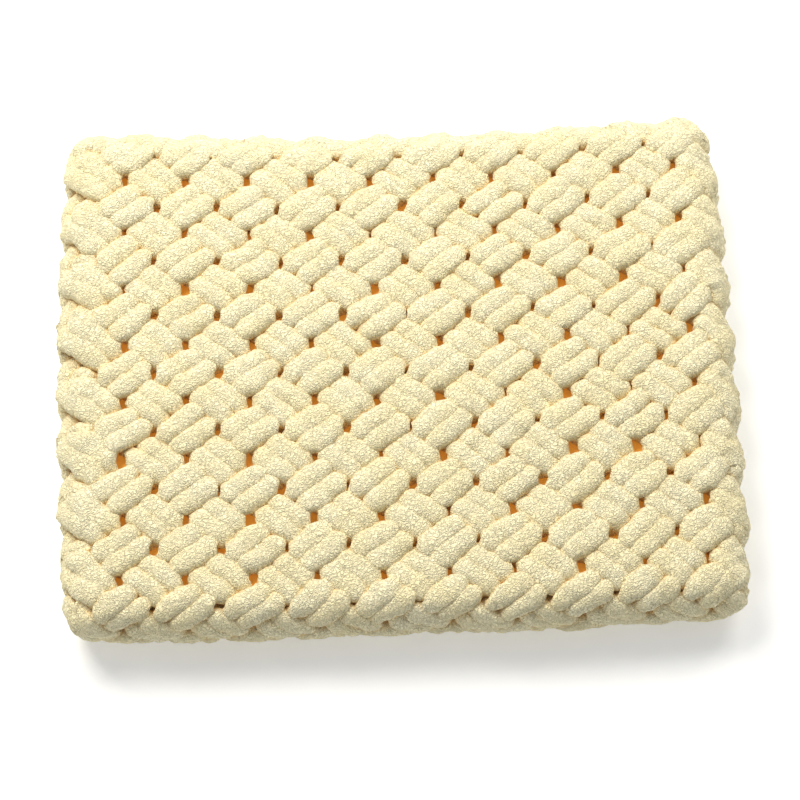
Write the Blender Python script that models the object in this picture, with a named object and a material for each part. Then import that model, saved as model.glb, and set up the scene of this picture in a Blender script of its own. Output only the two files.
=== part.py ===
"""Chunky knit blanket, folded once: one thick cloth of chenille yarn in a diagonal basket weave.

The cloth lies back and forth: an upper layer, a round fold along the front, and a lower layer with
a flat underside. Its other three edges are rounded. The stitches are raised on the outer face.
Metres, +Z up. The origin is at the middle of the footprint, on the surface that the blanket rests on.
"""

import math

import bmesh
import bpy

OBJECT_NAME = "folded_chunky_knit_blanket"
NODE_NAME = "blanket"

# The folded stack.
THICKNESS = 0.070
MID = THICKNESS / 2
LAYER_GAP = 0.0035
EDGE_FRONT = -0.2535
EDGE_BACK = 0.2625
BACK_HALF_WIDTH = 0.3215
FRONT_HALF_WIDTH = 0.3150
SIDE_BULGE = 0.0060
FLAT_FRONT = EDGE_FRONT + MID
FLAT_BACK = EDGE_BACK - MID

# The knit: a repeat is one right-leaning pair of strands and one left-leaning pair.
REPEAT_X = 0.0600
REPEAT_Y = 0.0585
PAIR_PITCH = REPEAT_X * REPEAT_Y / math.hypot(REPEAT_X, REPEAT_Y)
COLUMN_ZERO_X = -0.2592
ROW_ZERO_Y = 0.2062
STRAND_FROM_PAIR_MIDDLE = PAIR_PITCH / 4
STRAND_HALF_WIDTH = 0.0106
TWIN_SIDE_HALF_WIDTH = 0.0113
STRAND_HALF_HEIGHT = 0.0082
WAVE = 0.0087
WEAVE_MID = MID - STRAND_HALF_HEIGHT - WAVE

# The cloth's own edges, in repeats from column and row zero.
FIRST_COLUMN = -1.0
LAST_COLUMN = 10.0
FIRST_ROW = -1.5
LAST_RAISED_ROW = 9.25
LAST_WIDE_ROW = 16.0
LAST_ROW = 17.5
EDGE_LOOP_HEIGHT = MID - 0.005
EDGE_LOOP_WIDTH = 0.30

# Round the fold the stitches flatten out toward the plain underside.
PLAIN_FROM = math.radians(108)
PLAIN_OVER = math.radians(63)

# The cloth's edges turn down by this much and leave the last of the side to the other layer.
EDGE_TURN = math.radians(72)
CORNER_POWER = 4.0
INNER_REACH = 0.026

# Unevenness: the back edge bows in further than the front, and stitches differ a little.
BOW_BACK = 0.0140
BOW_FRONT = 0.0030
BACK_SKEW = 0.0030
STITCH_LIFT = 0.0012
SWAY = 0.0016

STEPS_PER_REPEAT = 8
CREAM = (0.93, 0.84, 0.60, 1.0)
ROUGHNESS = 0.95


def uneven(a, b, turn):
    """A smooth, repeatable value between -1 and 1."""
    return 0.6 * math.sin(2.3 * a + 1.1 * b + turn) + 0.4 * math.sin(1.7 * a - 2.9 * b + 2 * turn)


def fade(t):
    """0 to 1 with soft ends, as t goes from 0 to 1."""
    t = min(max(t, 0.0), 1.0)
    return t * t * (3 - 2 * t)


def turned(past, reach):
    """How far an edge has turned down at a distance past its start, if the cloth ends at reach."""
    t = past / reach
    first = reach / MID
    return first * t + (EDGE_TURN - first) * t * t


def across(column, y):
    """(x where the cloth is flat, angle turned at the side) of a column, the left side negative."""
    share = (y - FLAT_FRONT) / (FLAT_BACK - FLAT_FRONT)
    flat = FRONT_HALF_WIDTH + (BACK_HALF_WIDTH - FRONT_HALF_WIDTH) * share - MID
    flat += SIDE_BULGE * 4 * share * (1 - share)
    x = COLUMN_ZERO_X + column * REPEAT_X
    if x > flat:
        return flat, turned(x - flat, COLUMN_ZERO_X + LAST_COLUMN * REPEAT_X - flat)
    if x < -flat:
        return -flat, -turned(-flat - x, -flat - COLUMN_ZERO_X - FIRST_COLUMN * REPEAT_X)
    return x, 0.0


def along(row):
    """(y where the cloth is flat, angle turned at the back, angle round the front fold) of a row."""
    y = ROW_ZERO_Y - row * REPEAT_Y
    first_reach = ROW_ZERO_Y - FIRST_ROW * REPEAT_Y - FLAT_BACK
    if y > FLAT_BACK:
        return FLAT_BACK, turned(y - FLAT_BACK, first_reach), 0.0
    if y > FLAT_FRONT:
        return y, 0.0, 0.0
    arc = FLAT_FRONT - y
    if arc < math.pi * MID:
        return FLAT_FRONT, 0.0, arc / MID
    y = FLAT_FRONT + arc - math.pi * MID
    if y < FLAT_BACK:
        return y, 0.0, math.pi
    last_reach = row_path(LAST_ROW) - math.pi * MID + FLAT_FRONT - FLAT_BACK
    return FLAT_BACK, turned(y - FLAT_BACK, last_reach), math.pi


def row_path(row):
    """Distance of a row past the start of the front fold, along the outer face."""
    return FLAT_FRONT - (ROW_ZERO_Y - row * REPEAT_Y)


def folded(x, y, height, fold_angle):
    """A point over the flat spot (x, y), carried round the front fold and bowed with the rows."""
    y -= height * math.sin(fold_angle)
    share = (y - EDGE_FRONT) / (EDGE_BACK - EDGE_FRONT)
    bow = BOW_FRONT + (BOW_BACK - BOW_FRONT) * share
    y -= bow * (1 - (x / BACK_HALF_WIDTH) ** 2) + BACK_SKEW * share * x / BACK_HALF_WIDTH
    return x, y, MID + height * math.cos(fold_angle)


def curled(column, row):
    """Where the cloth is flat at a stitch, how far it has turned there, and the way it turns."""
    y, back_turn, fold_angle = along(row)
    x, side_turn = across(column, y)
    turn = (abs(side_turn) ** CORNER_POWER + back_turn**CORNER_POWER) ** (1 / CORNER_POWER)
    length = math.hypot(side_turn, back_turn) or 1.0
    return x, y, fold_angle, turn, side_turn / length, back_turn / length


def outer_point(column, row):
    """A point of the outer face."""
    x, y, fold_angle, turn, toward_side, toward_back = curled(column, row)
    level = 1 - fade(turn / EDGE_TURN)
    underneath = level * fade((fold_angle - PLAIN_FROM) / PLAIN_OVER)
    offset = MID + (stitch_height(column, row) - MID) * (1 - underneath)
    sway = SWAY * level * (1 - underneath)
    x += sway * uneven(0.9 * column, 0.8 * row, 1.0)
    y += sway * uneven(0.8 * column, 0.9 * row, 2.0)
    reach = offset * math.sin(turn)
    height = offset * math.cos(turn)
    return folded(x + reach * toward_side, y + reach * toward_back, height, fold_angle)


def inner_point(column, row):
    """A point of the plain inner face."""
    x, y, fold_angle, turn, toward_side, toward_back = curled(column, row)
    reach = INNER_REACH * math.sin(turn) / math.sin(EDGE_TURN)
    return folded(x + reach * toward_side, y + reach * toward_back, LAYER_GAP / 2, fold_angle)


def strand_height(across_pairs, along_pairs, over_sign):
    """Top of the highest strand here that runs one way. Each pair rides over one crossing pair and
    under the next."""
    tops = []
    for pair in (math.floor(across_pairs), math.floor(across_pairs) + 1):
        crossing = math.cos(math.pi * along_pairs) * (-1) ** pair * over_sign
        ride = WAVE * crossing * (1.5 - 0.5 * crossing**2)
        off_centre = abs(across_pairs - pair) * PAIR_PITCH - STRAND_FROM_PAIR_MIDDLE
        half_width = STRAND_HALF_WIDTH if off_centre > 0 else TWIN_SIDE_HALF_WIDTH
        if off_centre < half_width:
            crown = STRAND_HALF_HEIGHT * math.sqrt(1 - (off_centre / half_width) ** 2)
            tops.append(WEAVE_MID + ride + crown)
    return max(tops)


def stitch_height(column, row):
    """Height of the outer face over the plane between the layers: the higher of the two strands."""
    right_pairs = column + row + 0.5
    left_pairs = column - row - 0.5
    height = max(
        strand_height(right_pairs, left_pairs, 1),
        strand_height(left_pairs, right_pairs, -1),
    )
    lift = uneven(math.floor(right_pairs + 0.5), math.floor(left_pairs + 0.5), 0.0)
    height += STITCH_LIFT * (lift - 1) / 2
    from_edge = min(column - FIRST_COLUMN, LAST_COLUMN - column, row - FIRST_ROW, LAST_ROW - row)
    return EDGE_LOOP_HEIGHT + (height - EDGE_LOOP_HEIGHT) * fade(from_edge / EDGE_LOOP_WIDTH)


def row_list():
    """The rows of the loft: close together where stitches are raised, and wide apart underneath."""
    ends = [round(row * STEPS_PER_REPEAT) for row in (FIRST_ROW, LAST_RAISED_ROW, LAST_WIDE_ROW)]
    last = round(LAST_ROW * STEPS_PER_REPEAT)
    raised = list(range(ends[0], ends[1]))
    wide = list(range(ends[1], ends[2], STEPS_PER_REPEAT // 2))
    return raised + wide + list(range(ends[2], last + 1, STEPS_PER_REPEAT // 4))


def section(step):
    """The outer and the inner points across the cloth at one row, each from left to right."""
    row = step / STEPS_PER_REPEAT
    columns = round((LAST_COLUMN - FIRST_COLUMN) * STEPS_PER_REPEAT / 2)
    shift = 0.5 if step % 2 else 0.0
    outer = []
    for i in range(columns + 1):
        column = FIRST_COLUMN + (i + shift) * 2 / STEPS_PER_REPEAT
        outer.append(outer_point(min(column, LAST_COLUMN), row))
    inner = [inner_point(column, row) for column in range(int(FIRST_COLUMN), int(LAST_COLUMN) + 1)]
    return outer, inner


def close_end(mesh, outer, inner):
    """The thin face between the outer and the inner points at an end of the cloth."""
    i = j = 0
    while i + j < len(outer) + len(inner) - 2:
        outer_share = (i + 1) / (len(outer) - 1)
        inner_share = (j + 1) / (len(inner) - 1)
        if outer_share <= inner_share:
            mesh.faces.new((outer[i], outer[i + 1], inner[j]))
            i += 1
        else:
            mesh.faces.new((outer[i], inner[j + 1], inner[j]))
            j += 1


def loft(steps):
    """One closed mesh through the sections. Diagonals follow the half-step shift of odd rows."""
    mesh = bmesh.new()
    rings = []
    for step in steps:
        outer, inner = section(step)
        rings.append(([mesh.verts.new(p) for p in outer], [mesh.verts.new(p) for p in inner]))
    for step, above, below in zip(steps[1:], rings, rings[1:], strict=False):
        upper = above[0] + above[1][::-1]
        lower = below[0] + below[1][::-1]
        for i in range(len(upper)):
            j = (i + 1) % len(upper)
            if step % 2:
                mesh.faces.new((upper[i], lower[i], upper[j]))
                mesh.faces.new((upper[j], lower[i], lower[j]))
            else:
                mesh.faces.new((upper[i], lower[i], lower[j]))
                mesh.faces.new((upper[i], lower[j], upper[j]))
    close_end(mesh, *rings[0])
    close_end(mesh, *rings[-1])
    bmesh.ops.recalc_face_normals(mesh, faces=mesh.faces)
    return mesh


def yarn_material():
    material = bpy.data.materials.new("cream_chenille_yarn")
    material.use_nodes = True
    shader = material.node_tree.nodes["Principled BSDF"]
    shader.inputs["Base Color"].default_value = CREAM
    shader.inputs["Roughness"].default_value = ROUGHNESS
    shader.inputs["Metallic"].default_value = 0.0
    return material


def build_blanket(collection):
    shape = loft(row_list())
    mesh = bpy.data.meshes.new(NODE_NAME)
    shape.to_mesh(mesh)
    shape.free()
    mesh.materials.append(yarn_material())
    mesh.shade_smooth()
    collection.objects.link(bpy.data.objects.new(NODE_NAME, mesh))


def main():
    for old in list(bpy.data.objects):
        bpy.data.objects.remove(old, do_unlink=True)
    collection = bpy.data.collections.new(OBJECT_NAME)
    bpy.context.scene.collection.children.link(collection)
    build_blanket(collection)


main()
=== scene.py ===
"""Looks of the folded chunky knit blanket: chenille strands woven over and under, and a studio.

Lengths are in metres. A place in the knit is a column (to the right) and a row (to the front and on
round the fold), both counted in repeats of the weave.
"""

import math

import bpy
import numpy as np
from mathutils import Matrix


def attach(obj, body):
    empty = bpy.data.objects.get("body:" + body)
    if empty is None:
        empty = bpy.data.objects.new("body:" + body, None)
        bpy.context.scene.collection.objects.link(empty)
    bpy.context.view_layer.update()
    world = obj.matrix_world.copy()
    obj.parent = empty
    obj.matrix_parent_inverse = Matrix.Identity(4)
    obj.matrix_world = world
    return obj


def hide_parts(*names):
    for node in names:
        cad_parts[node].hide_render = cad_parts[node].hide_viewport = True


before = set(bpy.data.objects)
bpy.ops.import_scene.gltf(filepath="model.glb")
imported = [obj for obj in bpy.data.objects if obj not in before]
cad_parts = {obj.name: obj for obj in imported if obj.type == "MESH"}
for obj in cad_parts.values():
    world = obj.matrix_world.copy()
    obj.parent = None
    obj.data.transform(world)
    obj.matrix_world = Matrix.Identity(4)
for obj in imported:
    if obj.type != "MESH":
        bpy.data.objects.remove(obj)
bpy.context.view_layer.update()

# ---------------------------------------------------------------- the folded stack, as in the solid
THICKNESS = 0.070
MID = THICKNESS / 2
EDGE_FRONT = -0.2535
EDGE_BACK = 0.2625
BACK_HALF_WIDTH = 0.3215
FRONT_HALF_WIDTH = 0.3150
SIDE_BULGE = 0.0060
FLAT_FRONT = EDGE_FRONT + MID
FLAT_BACK = EDGE_BACK - MID
BOW_BACK = 0.0140
BOW_FRONT = 0.0030
BACK_SKEW = 0.0030
EDGE_TURN = math.radians(72)
EDGE_REACH = 0.0262
EDGE_REACH_SHARE = 0.75
EDGE_LIFT = 0.0035
CORNER_POWER = 4.0
FOLD_LENGTH = math.pi * MID

# ---------------------------------------------------------------- the knit
REPEAT_X = 0.0600
REPEAT_Y = 0.0585
PAIR_PITCH = REPEAT_X * REPEAT_Y / math.hypot(REPEAT_X, REPEAT_Y)
COLUMN_ZERO_X = -0.2592
ROW_ZERO_Y = 0.2062
FIRST_COLUMN = -1.0
LAST_COLUMN = 10.0
FIRST_ROW = -1.5
LAST_ROW = 17.5

# How the strands run, in repeats, apart from the first, which is in metres, and LOOP_FULL. A strand
# is a loop's full size up to (LOOP_FULL - 1) * LOOP_FADE from its turn, and plain again past
# LOOP_FULL * LOOP_FADE.
STRAND_FROM_PAIR_MIDDLE = 0.0101
SPREAD = STRAND_FROM_PAIR_MIDDLE / PAIR_PITCH / 2
SWING = 0.030
U_TURN = 0.10
ROUND_CORNER = 0.10
ROUND_OUTER = 0.42
ROUND_INNER = 0.20
LOOP_FULL = 1.3
LOOP_FADE = 0.5
ROUTE_STEP = 0.01

# How high they ride: the strands on top stay up for longer and dive steeply.
WAVE = 0.0090
STRAND_HALF_HEIGHT = 0.0083
WEAVE_MID = MID - STRAND_HALF_HEIGHT - WAVE
STEEPER_DIVE = 0.40
STAY_ON_TOP = 0.26
PROUDER_RIGHT_LEANING = 0.14
LEFT_LEANING_LOWER = 0.0012
LOWEST = 0.0004

# Their sections. The widths go with the place between crossings: -1 beneath, 0 at a hole, 1 on top.
CROSSINGS = (-1, 0, 0.28, 0.85)
HALF_WIDTHS = (0.0082, 0.0095, 0.0120, 0.0127)
SECTION_POWER = 2.35
DIVE_HALF_HEIGHT = 0.0078
OVER_HALF_HEIGHT = 0.0086
DIVE_SQUEEZE = 0.0014
OVER_SQUEEZE = 0.0013
LEFT_LEANING_EXTRA = 0.0005
LOOP_EXTRA_WIDTH = 0.0032
LOOP_EXTRA_HEIGHT = 0.0020
# Loops count as higher in the weave for the painted shade, so they are painted lighter.
LOOP_LESS_PAINTED_SHADE = 0.009
NARROWER_ROUND_FOLD = 0.22
NARROWER_OVER = 0.025

# The holes between four stitches. Those at whole columns and rows are the larger ones. HOLE_REACH,
# HOLE_FADE and HOLE_NEAREST are in a hole's half sizes, HOLE_MARGIN is in repeats, and
# OFF_HOLE_START and OFF_HOLE_FADE are places between crossings.
HOLE_HALF_WIDTH = 0.0050
HOLE_HALF_LENGTH = 0.0042
HOLE_BACK = 0.0008
HOLE_BESIDE = 0.0108
HOLE_CLEAR = 0.0031
HOLE_LEAN = math.radians(32)
SMALLER_HOLE = 0.84
HOLE_REACH = 2.3
HOLE_FADE = 1.2
HOLE_MARGIN = 0.4
HOLE_NEAREST = 0.05
WIDER_OFF_HOLE = 0.008
OFF_HOLE_START = 0.10
OFF_HOLE_FADE = 0.45

# Unevenness: by how much, then over what distance. The distances are in repeats, apart from the
# yarn's slip and the swells of its surface, which are in metres. The shifts read the same noise at
# another place.
SWAY_BY, SWAY_OVER = 0.050, 0.60
RISE_BY, RISE_OVER = 0.0015, 0.8
WIDTH_BY, WIDTH_OVER = 0.10, 0.6
SLIP_BY, SLIP_OVER = 0.0012, 0.030
HOLE_TURN_BY, HOLE_SIZE_BY, HOLE_CLEAR_BY, HOLES_OVER = 0.45, 0.36, 0.75, 0.37
ROW_SHIFT, RISE_SHIFT, WIDTH_SHIFT, HOLE_SIZE_SHIFT = 7.3, 3.1, 11.9, 5.7

# The mesh. The way out of the cloth is measured over NUDGE, and TINY keeps lengths above zero.
SIDES = 16
STEP_TOP = 0.0024
STEP_UNDER = 0.0036
FOLD_END_ROW = 9.4
MOST_TRIANGLES = 180_000
CUT_SEARCH = 200
NUDGE = 0.001
TINY = 1e-9

# The sheet inside the weave that shows in its holes as painted shade with a painted glow: its
# heights are in metres, its step and margin in repeats.
SHADE_SHEET_LOW = 0.0145
SHADE_SHEET_HIGH = 0.0175
SHADE_SHEET_STEP = 0.1
SHADE_SHEET_MARGIN = 0.5


# ---------------------------------------------------------------- helpers
def fade(t):
    t = np.clip(t, 0.0, 1.0)
    return t * t * (3 - 2 * t)


class Noise:
    """Smooth value noise in three dimensions, between -1 and 1."""

    def __init__(self, seed, size=32):
        self.size = size
        self.values = np.random.RandomState(seed).uniform(-1, 1, (size, size, size))

    def __call__(self, points, scale):
        p = np.asarray(points) / scale
        cell = np.floor(p).astype(int)
        t = fade(p - cell)
        total = 0.0
        for corner in range(8):
            shift = np.array([corner & 1, corner >> 1 & 1, corner >> 2 & 1])
            index = (cell + shift) % self.size
            weight = np.prod(np.where(shift, t, 1 - t), axis=-1)
            total = total + weight * self.values[index[..., 0], index[..., 1], index[..., 2]]
        return total


LUMPS = Noise(1)
TUFTS = Noise(2)
SWAY = Noise(3)
# The swells of a strand's surface: (share of its thickness, noise, over what distance).
SWELLS = ((0.10, LUMPS, 0.021), (0.11, TUFTS, 0.0095), (0.12, LUMPS, 0.0052))


def link_object(name, data):
    """A new object in the scene, with this mesh, light or camera."""
    thing = bpy.data.objects.new(name, data)
    bpy.context.scene.collection.objects.link(thing)
    return thing


# ---------------------------------------------------------------- from the knit to its folded place
def turned(past, reach):
    """The angle turned over an edge, at a distance past the flat part."""
    t = past / reach
    first = reach / MID
    return first * t + (EDGE_TURN - first) * t * t


def along(row):
    """(y where the cloth is flat, angle turned at the back, angle round the front fold)."""
    y = ROW_ZERO_Y - row * REPEAT_Y
    first_reach = ROW_ZERO_Y - FIRST_ROW * REPEAT_Y - FLAT_BACK
    arc = np.maximum(FLAT_FRONT - y, 0.0)
    fold_angle = np.minimum(arc / MID, math.pi)
    below = FLAT_FRONT + arc - FOLD_LENGTH
    last_below = FLAT_FRONT - ROW_ZERO_Y + LAST_ROW * REPEAT_Y - FOLD_LENGTH + FLAT_FRONT
    last_reach = last_below - FLAT_BACK
    flat_below = np.clip(below, FLAT_FRONT, FLAT_BACK)
    flat_y = np.where(arc <= 0, np.minimum(y, FLAT_BACK), flat_below)
    back_turn = np.where(
        y > FLAT_BACK,
        turned(np.maximum(y - FLAT_BACK, 0), first_reach),
        turned(np.maximum(below - FLAT_BACK, 0), last_reach),
    )
    return flat_y, np.maximum(back_turn, 0.0), fold_angle


def across(column, y):
    """(x where the cloth is flat, angle turned at the sides, positive on the right)."""
    share = (y - FLAT_FRONT) / (FLAT_BACK - FLAT_FRONT)
    flat = FRONT_HALF_WIDTH + (BACK_HALF_WIDTH - FRONT_HALF_WIDTH) * share - MID
    flat = flat + SIDE_BULGE * 4 * share * (1 - share)
    x = COLUMN_ZERO_X + column * REPEAT_X
    right = turned(np.maximum(x - flat, 0), COLUMN_ZERO_X + LAST_COLUMN * REPEAT_X - flat)
    left = turned(np.maximum(-flat - x, 0), -flat - COLUMN_ZERO_X - FIRST_COLUMN * REPEAT_X)
    return np.clip(x, -flat, flat), right - left


def place(column, row, height):
    """Points at a height over the plane between the layers, at a spot of the knit."""
    y, back_turn, fold_angle = along(row)
    x, side_turn = across(column, y)
    turn = (np.abs(side_turn) ** CORNER_POWER + back_turn**CORNER_POWER) ** (1 / CORNER_POWER)
    length = np.maximum(np.hypot(side_turn, back_turn), TINY)
    over_edge = fade(turn / EDGE_TURN)
    reach = (height + (EDGE_REACH - height) * EDGE_REACH_SHARE * over_edge) * np.sin(turn)
    x = x + reach * side_turn / length
    y = y + reach * back_turn / length
    lift = height * np.cos(turn) + EDGE_LIFT * over_edge
    y = y - lift * np.sin(fold_angle)
    share = (y - EDGE_FRONT) / (EDGE_BACK - EDGE_FRONT)
    bow = BOW_FRONT + (BOW_BACK - BOW_FRONT) * share
    y = y - bow * (1 - (x / BACK_HALF_WIDTH) ** 2) - BACK_SKEW * share * x / BACK_HALF_WIDTH
    return np.stack([x, y, MID + lift * np.cos(fold_angle)], axis=-1)


# ---------------------------------------------------------------- the strands' routes
def routes():
    """Each strand as a closed list of (corner, middle line's corner, rounding). A middle line runs
    diagonally and turns back at the cloth's edges, and a strand keeps to its left."""
    rows = round(LAST_ROW - FIRST_ROW)
    starts = [(FIRST_COLUMN, FIRST_ROW + i, 1, d) for i in range(rows + 1) for d in (1, -1)]
    seen = set()
    found = []
    for x, y, dx, dy in starts:
        leaves_cloth = (y == FIRST_ROW and dy < 0) or (y == LAST_ROW and dy > 0)
        if leaves_cloth or (x, y, dx, dy) in seen:
            continue
        corners = []
        while (x, y, dx, dy) not in seen:
            seen.add((x, y, dx, dy))
            run = min(
                LAST_COLUMN - x if dx > 0 else x - FIRST_COLUMN,
                LAST_ROW - y if dy > 0 else y - FIRST_ROW,
            )
            x, y = x + dx * run, y + dy * run
            at_side = x in (FIRST_COLUMN, LAST_COLUMN)
            at_end = y in (FIRST_ROW, LAST_ROW)
            if at_side and at_end:
                for side in (1, -1):
                    spot = (
                        x - side * dy * SPREAD + dx * U_TURN,
                        y + side * dx * SPREAD + dy * U_TURN,
                    )
                    corners.append((spot, (x, y), ROUND_CORNER))
                dx, dy = -dx, -dy
            elif at_side:
                shift = -2 * SPREAD * dy
                outer = (shift > 0) == (x == LAST_COLUMN)
                corners.append(((x + shift, y), (x, y), ROUND_OUTER if outer else ROUND_INNER))
                dx = -dx
            else:
                shift = 2 * SPREAD * dx
                outer = (shift > 0) == (y == LAST_ROW)
                corners.append(((x, y + shift), (x, y), ROUND_OUTER if outer else ROUND_INNER))
                dy = -dy
        found.append(corners)
    return found


def leans_right(start, end):
    return (end[0] - start[0]) * (end[1] - start[1]) < 0


def weave(column, row, start, end, middle_start, middle_end):
    """Where a strand is between two crossings on one straight run between two turns (1 is the
    middle of a stretch on top, -1 of one beneath), how high it rides there, and how far it swings
    sideways: the stretches on top run flatter across the cloth than the stretches beneath."""
    if leans_right(start, end):
        stay = STAY_ON_TOP + PROUDER_RIGHT_LEANING
        index = round(middle_start[0] + middle_start[1] + 0.5)
        place_along = column - row - 0.5
        ends = [p[0] - p[1] - 0.5 for p in (start, middle_start, middle_end, end)]
    else:
        stay = STAY_ON_TOP - PROUDER_RIGHT_LEANING
        index = round(middle_start[0] - middle_start[1] - 0.5) + 1
        place_along = column + row + 0.5
        ends = [p[0] + p[1] + 0.5 for p in (start, middle_start, middle_end, end)]
    way = 1 if ends[2] > ends[1] else -1
    first, last = ends[1] + way, ends[2] - way
    marks = [way * ends[0], way * first, way * last, way * ends[3]]
    phases = [first - way / 2, first, last, last + way / 2]
    turns = math.pi * (np.interp(way * place_along, marks, phases) + index)
    crossing = np.cos(turns)
    wave = crossing + stay * (1 - crossing**2)
    wave = wave * (1.5 - 0.5 * wave**2)
    return crossing, wave * (1 + STEEPER_DIVE * (1 - wave**2)), SWING * np.sin(turns)


def strand_course(corners):
    """(column, row, place between crossings, how high it rides, left-leaning or not, turning back
    or not) along one closed strand, evenly spaced."""
    spots = np.array([c[0] for c in corners])
    count = len(spots)
    following = np.roll(spots, -1, axis=0)
    lengths = np.hypot(*(following - spots).T)
    starts = np.concatenate([[0.0], np.cumsum(lengths)])
    total = starts[-1]
    fine = np.arange(0, total, ROUTE_STEP)
    column = np.interp(fine, starts, np.append(spots[:, 0], spots[0, 0]))
    row = np.interp(fine, starts, np.append(spots[:, 1], spots[0, 1]))
    crossing, ride, swing, left_leaning, turning = (np.zeros_like(fine) for _ in range(5))
    for i in range(count):
        j = (i + 1) % count
        if corners[i][1] == corners[j][1]:
            continue
        here = (fine >= starts[i]) & (fine < starts[i + 1])
        crossing[here], ride[here], swing[here] = weave(
            column[here], row[here], spots[i], spots[j], corners[i][1], corners[j][1]
        )
        left_leaning[here] = not leans_right(spots[i], spots[j])
    rounded = np.stack([column, row], axis=1)
    for i in range(count):
        cut = min(corners[i][2], lengths[i - 1] / 2, lengths[i] / 2)
        offset = (fine - starts[i] + total / 2) % total - total / 2
        turning = np.maximum(turning, fade(LOOP_FULL - np.abs(offset) / LOOP_FADE))
        near = np.abs(offset) < cut
        t = ((offset[near] + cut) / (2 * cut))[:, None]
        before = spots[i] + (spots[i - 1] - spots[i]) * cut / lengths[i - 1]
        after = spots[i] + (following[i] - spots[i]) * cut / lengths[i]
        rounded[near] = (1 - t) ** 2 * before + 2 * t * (1 - t) * spots[i] + t**2 * after
    repeat = math.hypot(REPEAT_X, REPEAT_Y) / math.sqrt(2)
    step = np.where(rounded[:, 1] < FOLD_END_ROW, STEP_TOP, STEP_UNDER) / repeat
    done = np.concatenate([[0.0], np.cumsum(ROUTE_STEP / step)])[:-1]
    marks = np.linspace(0, done[-1], int(done[-1]), endpoint=False)
    rounded[:, 0] += swing
    rounded[:, 1] += np.where(left_leaning > 0, -swing, swing)
    values = (rounded[:, 0], rounded[:, 1], crossing, ride, left_leaning, turning)
    return [np.interp(marks, done, value) for value in values]


# ---------------------------------------------------------------- the holes between the strands
def holes_by(column, row):
    """For each kind of hole: the nearest one's column and row, what its noise is read at, its lean
    and its size."""
    for shift, lean, scale in ((0.0, HOLE_LEAN, 1.0), (0.5, -HOLE_LEAN, SMALLER_HOLE)):
        hole_column = np.round(column - shift) + shift
        hole_row = np.round(row - shift) + shift
        spot = np.stack([hole_column, hole_row, 0 * hole_column], axis=-1)
        yield hole_column, hole_row, spot, lean, scale


def clear_of_hole(column, row, left_c, left_r):
    """How wide to its left a strand can be before it is too close to the hole there."""
    c = column + left_c * HOLE_BESIDE / REPEAT_X
    r = row + left_r * HOLE_BESIDE / REPEAT_Y
    nearest = np.full_like(c, np.inf)
    clear = np.zeros_like(c)
    for hole_column, hole_row, spot, _, scale in holes_by(c, r):
        uneven = 1 + HOLE_CLEAR_BY * SWAY(spot + HOLE_SIZE_SHIFT, HOLES_OVER)
        x = (hole_column - column) * REPEAT_X
        y = (hole_row - row) * REPEAT_Y
        beside = x * left_c + y * left_r
        far = np.hypot(x * left_r - y * left_c, beside - HOLE_BESIDE)
        clear = np.where(far < nearest, beside - HOLE_CLEAR * scale**2 * uneven, clear)
        nearest = np.minimum(far, nearest)
    return clear


def pushed_from_holes(column, row, left_c, left_r, lateral):
    """How far the hole between four stitches pushes each ring point, to the strand's left and
    along it."""
    left_c, left_r = left_c[:, None], left_r[:, None]
    c = column[:, None] + left_c * lateral / REPEAT_X
    r = row[:, None] + left_r * lateral / REPEAT_Y
    sideways = np.zeros_like(c)
    forward = np.zeros_like(c)
    for hole_column, hole_row, spot, lean, scale in holes_by(c, r):
        turn = lean + HOLE_TURN_BY * SWAY(spot, HOLES_OVER)
        size = scale * (1 + HOLE_SIZE_BY * SWAY(spot + HOLE_SIZE_SHIFT, HOLES_OVER))
        in_cloth = hole_column > FIRST_COLUMN + HOLE_MARGIN
        in_cloth &= hole_column < LAST_COLUMN - HOLE_MARGIN
        in_cloth &= (hole_row > FIRST_ROW + HOLE_MARGIN) & (hole_row < LAST_ROW - HOLE_MARGIN)
        x = (c - hole_column) * REPEAT_X
        y = (r - hole_row) * REPEAT_Y + HOLE_BACK
        wide = (x * np.cos(turn) - y * np.sin(turn)) / (HOLE_HALF_WIDTH * size)
        long = (x * np.sin(turn) + y * np.cos(turn)) / (HOLE_HALF_LENGTH * size)
        far = np.maximum(np.hypot(wide, long), HOLE_NEAREST)
        push = (np.sqrt(far**2 + 1) / far - 1) * fade((HOLE_REACH - far) / HOLE_FADE) * in_cloth
        sideways += (x * left_c + y * left_r) * push
        forward += (x * left_r - y * left_c) * push
    return sideways, forward


# ---------------------------------------------------------------- the strands' surface
def strand_frame(column, row, height):
    """A strand's middle line, with unit directions along it, out of the cloth and to its left."""
    middle = place(column, row, height)
    up = place(column, row, height + NUDGE) - place(column, row, height - NUDGE)
    tangent = np.roll(middle, -1, axis=0) - np.roll(middle, 1, axis=0)
    tangent /= np.linalg.norm(tangent, axis=1, keepdims=True)
    up -= np.sum(up * tangent, axis=1, keepdims=True) * tangent
    up /= np.linalg.norm(up, axis=1, keepdims=True)
    return middle, tangent, up, np.cross(tangent, up)


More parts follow.
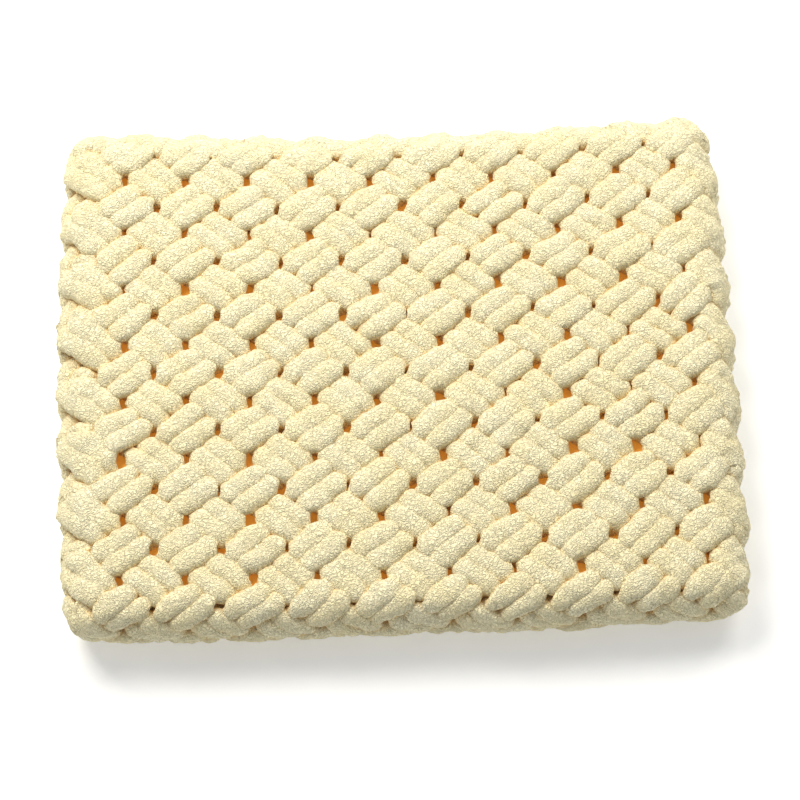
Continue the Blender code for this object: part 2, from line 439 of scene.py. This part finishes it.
def strand_rings(column, row, crossing, ride, left_leaning, turning):
    """Rings of points round a closed strand, the length along it of each ring, and how high each
    point lies in the weave, which sets the painted shade there. The holes stay where they are while
    the strands sway."""
    flat = np.stack([column, row, 0 * row], axis=1)
    step_c = (np.roll(column, -1) - np.roll(column, 1)) * REPEAT_X
    step_r = (np.roll(row, -1) - np.roll(row, 1)) * REPEAT_Y
    step = np.maximum(np.hypot(step_c, step_r), TINY)
    before_sway = (column, row, -step_r / step, step_c / step)
    column = column + SWAY_BY * SWAY(flat, SWAY_OVER)
    row = row + SWAY_BY * SWAY(flat + ROW_SHIFT, SWAY_OVER)
    over = np.maximum(ride, 0)
    height = WEAVE_MID + WAVE * ride - LEFT_LEANING_LOWER * left_leaning * over
    height = height + RISE_BY * SWAY(flat + RISE_SHIFT, RISE_OVER)
    middle, tangent, up, left = strand_frame(column, row, height)

    extra = LEFT_LEANING_EXTRA * left_leaning * over
    half_width = np.interp(crossing, CROSSINGS, HALF_WIDTHS) + extra
    half_width = half_width * (1 + WIDTH_BY * SWAY(flat + WIDTH_SHIFT, WIDTH_OVER))
    past_front = FLAT_FRONT - ROW_ZERO_Y + row * REPEAT_Y
    round_fold = fade(past_front / NARROWER_OVER)
    round_fold = round_fold * fade((FOLD_LENGTH - past_front) / NARROWER_OVER)
    half_width = half_width * (1 - NARROWER_ROUND_FOLD * round_fold)
    half_width = half_width + LOOP_EXTRA_WIDTH * turning
    half_height = DIVE_HALF_HEIGHT + (OVER_HALF_HEIGHT - DIVE_HALF_HEIGHT) * over
    half_height = half_height + LOOP_EXTRA_HEIGHT * turning
    half_width, half_height = half_width[:, None], half_height[:, None]

    squeeze = DIVE_SQUEEZE + (OVER_SQUEEZE - DIVE_SQUEEZE) * over + extra
    along_yarn = np.arange(len(ride)) * STEP_TOP
    along_yarn = np.stack([along_yarn, column[0] + 0 * ride, 0 * ride], axis=1)
    squeeze = squeeze + SLIP_BY * TUFTS(along_yarn, SLIP_OVER)
    middle = middle - left * squeeze[:, None]

    angle = np.arange(SIDES) * 2 * math.pi / SIDES
    cos, sin = np.cos(angle), np.sin(angle)
    round_off = np.abs(cos) ** SECTION_POWER + np.abs(sin) ** SECTION_POWER
    round_off = round_off ** (-1 / SECTION_POWER)
    ring = (
        left[:, None] * (half_width * cos * round_off)[..., None]
        + up[:, None] * (half_height * sin * round_off)[..., None]
    )
    points = middle[:, None] + ring
    swell = sum(share * noise(points, scale) for share, noise, scale in SWELLS)
    points = middle[:, None] + ring * (1 + swell)[..., None]

    lateral = half_width * cos * round_off * (1 + swell) - squeeze[:, None]
    off_hole = fade((np.abs(crossing) - OFF_HOLE_START) / OFF_HOLE_FADE)
    widest = clear_of_hole(*before_sway) + WIDER_OFF_HOLE * off_hole
    too_wide = np.maximum(lateral - widest[:, None], 0) * (turning[:, None] == 0)
    points = points - left[:, None] * too_wide[..., None]
    sideways, forward = pushed_from_holes(*before_sway, lateral - too_wide)
    points = points + left[:, None] * sideways[..., None] + tangent[:, None] * forward[..., None]
    points[..., 2] = np.maximum(points[..., 2], LOWEST)

    length = np.concatenate([[0.0], np.cumsum(np.linalg.norm(np.diff(middle, axis=0), axis=1))])
    # This height sets the painted shade: warmer and darker low in the weave, and lighter on the
    # loops.
    level = WAVE * ride[:, None] + half_height * sin * (1 + swell)
    return points, length, level + LOOP_LESS_PAINTED_SHADE * turning[:, None]


def strand_mesh(name, points, length, level):
    """A tube with closed ends through the rings, with its length and girth as texture coordinates
    and each point's height in the weave, which sets the painted shade low in the weave."""
    count = len(points)
    ring = np.arange(SIDES)
    following = np.roll(ring, -1)
    base = np.arange(count - 1)[:, None] * SIDES
    quads = (base + ring, base + following, base + SIDES + following, base + SIDES + ring)
    faces = np.stack(quads, -1).reshape(-1, 4).tolist()
    faces.append(ring[::-1].tolist())
    faces.append((ring + (count - 1) * SIDES).tolist())
    mesh = bpy.data.meshes.new(name)
    mesh.from_pydata(points.reshape(-1, 3).tolist(), [], faces)

    girth = np.arange(SIDES + 1) * 2 * math.pi * HALF_WIDTHS[-1] / SIDES
    u = np.broadcast_to(length[:, None], (count, SIDES + 1))
    v = np.broadcast_to(girth, (count, SIDES + 1))
    by_corner = [
        np.stack([uv[a : count - 1 + a, b : SIDES + b] for uv in (u, v)], -1)
        for a, b in ((0, 0), (0, 1), (1, 1), (1, 0))
    ]
    on_quads = np.stack(by_corner, axis=2).reshape(-1, 2)
    values = np.zeros((len(mesh.loops), 2), np.float32)
    values[: len(on_quads)] = on_quads
    mesh.uv_layers.new(name="yarn").data.foreach_set("uv", values.ravel())
    shown = mesh.attributes.new("level", "FLOAT", "POINT")
    shown.data.foreach_set("value", level.astype(np.float32).ravel())
    mesh.shade_smooth()
    return link_object(name, mesh)


def build_strands():
    """The strands, each cut where it lies lowest into pieces of few enough triangles."""
    pieces = []
    most_rings = MOST_TRIANGLES // (2 * SIDES)
    for corners in routes():
        column, row, crossing, ride, left_leaning, turning = strand_course(corners)
        points, length, level = strand_rings(column, row, crossing, ride, left_leaning, turning)
        points = np.concatenate([points, points[:1]])
        level = np.concatenate([level, level[:1]])
        length = np.append(length, length[-1] + STEP_TOP)
        ride = np.append(ride, ride[0])
        start = 0
        while start < len(points) - 1:
            end = min(start + most_rings, len(points) - 1)
            if end < len(points) - 1:
                near = np.arange(end - CUT_SEARCH, end)
                end = int(near[np.argmin(ride[near])])
            part = slice(start, end + 1)
            name = f"strand_{len(pieces) + 1}"
            pieces.append(strand_mesh(name, points[part], length[part], level[part]))
            start = end
    return pieces


# ---------------------------------------------------------------- the sheet of painted shade inside the weave
def build_painted_shade_sheet():
    """A thin closed sheet, folded with the strands, that closes the holes of the weave and shows in
    them as painted shade with a painted glow.
    """
    past_last = SHADE_SHEET_MARGIN - SHADE_SHEET_STEP / 2
    rows = np.arange(FIRST_ROW + SHADE_SHEET_MARGIN, LAST_ROW - past_last, SHADE_SHEET_STEP)
    columns = np.arange(FIRST_COLUMN + SHADE_SHEET_MARGIN, LAST_COLUMN - past_last, SHADE_SHEET_STEP)
    row, column = np.meshgrid(rows, columns, indexing="ij")
    outer = place(column, row, np.full_like(row, SHADE_SHEET_HIGH))
    inner = place(column, row, np.full_like(row, SHADE_SHEET_LOW))
    a_side = row.size
    index = np.arange(a_side).reshape(row.shape)
    quads = (index[:-1, :-1], index[1:, :-1], index[1:, 1:], index[:-1, 1:])
    top = np.stack(quads, -1).reshape(-1, 4)
    low = top[:, ::-1] + a_side
    rim = np.concatenate([index[0, :-1], index[:-1, -1], index[-1, :0:-1], index[:0:-1, 0]])
    after = np.roll(rim, -1)
    edges = np.stack([rim, after, after + a_side, rim + a_side], -1)
    mesh = bpy.data.meshes.new("painted_shade_sheet")
    points = np.concatenate([outer.reshape(-1, 3), inner.reshape(-1, 3)])
    mesh.from_pydata(points.tolist(), [], np.concatenate([top, low, edges]).tolist())
    mesh.shade_smooth()
    return link_object("painted_shade_sheet", mesh)


# ---------------------------------------------------------------- materials
def set_inputs(node, values):
    for name, value in values.items():
        node.inputs[name].default_value = value


def new_material(name, values):
    material = bpy.data.materials.new(name)
    material.use_nodes = True
    set_inputs(material.node_tree.nodes["Principled BSDF"], values)
    return material


def yarn_material():
    """Cream chenille: a fine curled pile with painted shade along its creases, and painted shade,
    warm orange, where it lies low in the weave or is shut in by its neighbours.
    """
    look = {
        "Roughness": 0.95,
        "Specular IOR Level": 0.15,
        "Sheen Weight": 0.25,
        "Sheen Roughness": 0.5,
        "Sheen Tint": (1.0, 0.92, 0.66, 1),
    }
    material = new_material("chenille", look)
    tree = material.node_tree
    shader = tree.nodes["Principled BSDF"]

    def add(kind, values, links, **settings):
        """A node with these values, linked from (node, output) to each named input."""
        node = tree.nodes.new("ShaderNode" + kind)
        for name, value in settings.items():
            setattr(node, name, value)
        set_inputs(node, values)
        for name, (source, output) in links.items():
            tree.links.new(source.outputs[output], node.inputs[name])
        return node

    spot = add("TexCoord", {}, {})
    in_space = {"Vector": (spot, "Object")}
    tone = add("TexNoise", {"Scale": 38.0, "Detail": 3.0}, in_space)
    shades = add("ValToRGB", {}, {"Fac": (tone, "Fac")})
    darker, lighter = shades.color_ramp.elements
    darker.position, darker.color = 0.35, (0.95, 0.85, 0.52, 1)
    lighter.position, lighter.color = 0.65, (0.96, 0.89, 0.61, 1)

    curl_shape = {"Scale": 340.0, "Detail": 1.0, "Roughness": 0.5, "Distortion": 0.8}
    curls = add("TexNoise", curl_shape, in_space)
    centred = add("Math", {1: 0.5}, {0: (curls, "Fac")}, operation="SUBTRACT")
    folded_over = add("Math", {}, {0: (centred, "Value")}, operation="ABSOLUTE")
    pile = add("MapRange", {"From Max": 0.16}, {"Value": (folded_over, "Value")})
    # Painted shade along the pile's creases: tan in the thin lines where the curls fold over.
    tint = add("MapRange", {"From Max": 0.045}, {"Value": (folded_over, "Value")})

    # A is the painted shade colour, B the colour it is mixed into.
    def mix(shade_colour, share, other):
        links = {"Factor": share, "B": other}
        return add("Mix", {"A": shade_colour}, links, data_type="RGBA")

    pile_with_painted_crease_shade = mix((0.90, 0.77, 0.49, 1), (tint, "Result"), (shades, "Color"))
    # Painted shade low in the weave: warm orange where a point's height in the weave is low.
    level = add("Attribute", {}, {}, attribute_name="level")
    painted_low_shade_mask = add("MapRange", {"From Min": -0.006, "From Max": 0.005}, {"Value": (level, "Fac")})
    painted_low_shade = mix((0.80, 0.44, 0.12, 1), (painted_low_shade_mask, "Result"), (pile_with_painted_crease_shade, "Result"))

    # Painted shade where the yarn is shut in: warm orange where ambient occlusion finds little open
    # air, though not close to the floor.
    open_air = add("AmbientOcclusion", {"Distance": 0.010}, {}, samples=2)
    shut_in = add("MapRange", {"From Min": 0.10, "From Max": 0.70}, {"Value": (open_air, "AO")})
    parts = add("SeparateXYZ", {}, in_space)
    near_floor = add("MapRange", {"From Min": 0.016, "From Max": 0.006}, {"Value": (parts, "Z")})
    either = {0: (shut_in, "Result"), 1: (near_floor, "Result")}
    open_enough = add("Math", {}, either, operation="MAXIMUM")
    painted_crevice_shade = mix((1.0, 0.67, 0.28, 1), (open_enough, "Value"), (painted_low_shade, "Result"))
    tree.links.new(painted_crevice_shade.outputs["Result"], shader.inputs["Base Color"])

    bump = add("Bump", {"Strength": 1.0, "Distance": 0.0011}, {"Height": (pile, "Result")})
    tree.links.new(bump.outputs["Normal"], shader.inputs["Normal"])
    return material


# The sheet in the holes: painted shade in the orange of the shaded layer beneath, with its emission
# as a painted glow.
HOLE_SHADE_AND_GLOW_LOOK = {
    "Base Color": (1.0, 0.50, 0.10, 1),
    "Emission Color": (1.0, 0.42, 0.06, 1),
    "Emission Strength": 0.16,
    "Roughness": 1.0,
    "Specular IOR Level": 0.05,
}
FLOOR_LOOK = {
    "Base Color": (0.92, 0.92, 0.92, 1),
    "Emission Color": (1.0, 1.0, 1.0, 1),
    "Emission Strength": 0.25,
    "Roughness": 0.9,
    "Specular IOR Level": 0.1,
}

# ---------------------------------------------------------------- studio
FLOOR_HALF = 6.0
LIGHT_COLOUR = (1.0, 0.97, 0.90)
# (name, place, side of the square, power in watts)
LIGHTS = (("key", (-0.90, 1.2, 1.8), 1.3, 58.5), ("back", (1.0, 1.2, 1.3), 1.0, 17.0))
SKY = {"Color": (0.94, 0.97, 1.0, 1), "Strength": 0.385}

# The camera, fitted to the photo: it looks at this column and row from this far.
CAMERA_COLUMN = 4.5
CAMERA_ROW = 3.5
CAMERA_ELEVATION = math.radians(68)
CAMERA_YAW = 0.039
CAMERA_DISTANCE = 2.111
CAMERA_LENS = 99.0
CAMERA_SENSOR = 36.0
CAMERA_SHIFT_X = -0.01025
CAMERA_SHIFT_Y = -0.03425


def build_floor():
    mesh = bpy.data.meshes.new("floor")
    corners = [(x * FLOOR_HALF, y * FLOOR_HALF, 0) for x, y in ((-1, -1), (1, -1), (1, 1), (-1, 1))]
    mesh.from_pydata(corners, [], [(0, 1, 2, 3)])
    floor = link_object("floor", mesh)
    floor.data.materials.append(new_material("pale_floor", FLOOR_LOOK))


def build_lights():
    """Square lamps that look at the floor under the middle of the blanket, and a pale sky."""
    for name, location, size, power in LIGHTS:
        light = bpy.data.lights.new(name, "AREA")
        light.shape = "SQUARE"
        light.size = size
        light.energy = power
        light.color = LIGHT_COLOUR
        lamp = link_object(name, light)
        lamp.location = location
        aim = -np.array(location)
        tilt = math.acos(-aim[2] / np.linalg.norm(aim))
        lamp.rotation_euler = (tilt, 0.0, math.atan2(aim[1], aim[0]) - math.pi / 2)
    world = bpy.data.worlds.new("studio")
    world.use_nodes = True
    set_inputs(world.node_tree.nodes["Background"], SKY)
    bpy.context.scene.world = world


def build_camera():
    aim_x = COLUMN_ZERO_X + CAMERA_COLUMN * REPEAT_X
    aim_y = ROW_ZERO_Y - CAMERA_ROW * REPEAT_Y
    back = CAMERA_DISTANCE * math.cos(CAMERA_ELEVATION)
    camera = link_object("camera", bpy.data.cameras.new("camera"))
    camera.location = (
        aim_x - back * math.sin(CAMERA_YAW),
        aim_y - back * math.cos(CAMERA_YAW),
        MID + CAMERA_DISTANCE * math.sin(CAMERA_ELEVATION),
    )
    camera.rotation_euler = (math.pi / 2 - CAMERA_ELEVATION, 0.0, -CAMERA_YAW)
    camera.data.lens = CAMERA_LENS
    camera.data.sensor_width = CAMERA_SENSOR
    camera.data.shift_x = CAMERA_SHIFT_X
    camera.data.shift_y = CAMERA_SHIFT_Y
    bpy.context.scene.camera = camera


strands = build_strands()
painted_shade_sheet = build_painted_shade_sheet()
chenille = yarn_material()
for strand in strands:
    strand.data.materials.append(chenille)
painted_shade_sheet.data.materials.append(new_material("painted_hole_shade_and_glow", HOLE_SHADE_AND_GLOW_LOOK))
for piece in strands + [painted_shade_sheet]:
    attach(piece, "root")
    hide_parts("blanket")
build_floor()
build_lights()
build_camera()
scene = bpy.context.scene
scene.view_settings.view_transform = "Standard"
scene.view_settings.look = "None"
